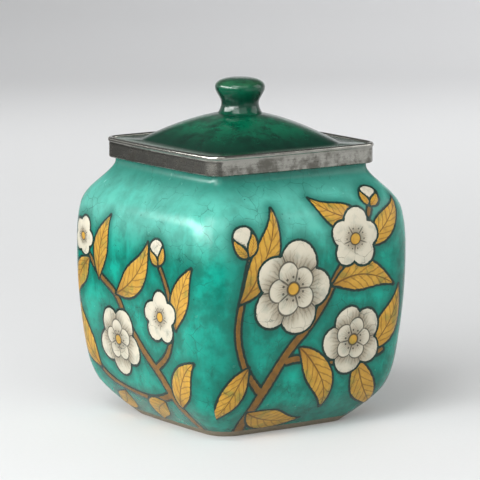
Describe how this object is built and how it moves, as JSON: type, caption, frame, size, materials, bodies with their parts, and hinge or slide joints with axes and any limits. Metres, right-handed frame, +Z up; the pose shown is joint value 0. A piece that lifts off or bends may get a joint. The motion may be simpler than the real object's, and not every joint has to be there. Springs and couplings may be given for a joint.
{
  "type": "lidded jar",
  "caption": "Square stoneware jar with bulging sides, a metal collar round its mouth, and a domed lid that lifts straight off by its knob.",
  "frame": {"origin": "middle of the foot, on the surface that the jar stands on", "axes": "+Z up along the jar's axis; -Y is out of the main painted face, and the other faces look along +X, -X and +Y"},
  "size_m": [0.1244, 0.1244, 0.16],
  "materials": {
    "turquoise_glaze": "glossy mottled turquoise glaze with a painted botanical band, bare stoneware under the foot",
    "plaster": "matte, off-white",
    "collar_metal": "soft worn polish, lightly tarnished",
    "emerald_glaze": "glossy dark green glaze"
  },
  "bodies": {
    "jar": {"jar_body": "turquoise_glaze", "collar_bedding": "plaster", "mouth_collar": "collar_metal"},
    "lid": {"lid_shell": "emerald_glaze", "lid_knob": "emerald_glaze"}
  },
  "joints": [
    {"name": "lid_lift", "type": "slide", "parent": "jar", "child": "lid", "axis": [0, 0, 1], "range_m": [0, 0.1]}
  ]
}
